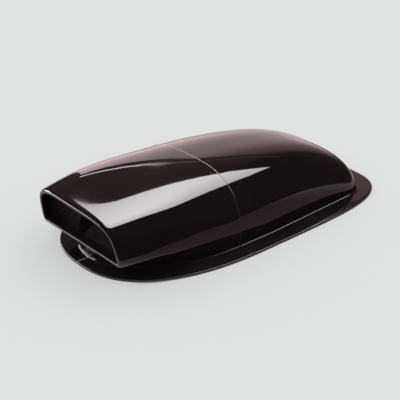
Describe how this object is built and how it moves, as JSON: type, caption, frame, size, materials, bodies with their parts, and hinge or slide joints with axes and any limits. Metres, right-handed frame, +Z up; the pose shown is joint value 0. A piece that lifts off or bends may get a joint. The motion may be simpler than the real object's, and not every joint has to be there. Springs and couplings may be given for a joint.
{
  "type": "bonnet scoop",
  "caption": "Black moulded bonnet scoop: a hollow domed body with a raised forward mouth, tapering back to a rounded tail on a flat flange with an open underside.",
  "frame": {"origin": "middle of the flange's underside, which lies on the bonnet", "axes": "+Z up from the bonnet, +Y back from the mouth to the tail, X across; the mouth faces -Y"},
  "size_m": [0.2978, 0.5318, 0.1117],
  "materials": {
    "black_gelcoat": "gloss black gel coat over glass-reinforced plastic"
  },
  "bodies": {
    "root": {"scoop_shell": "black_gelcoat"}
  },
  "joints": []
}
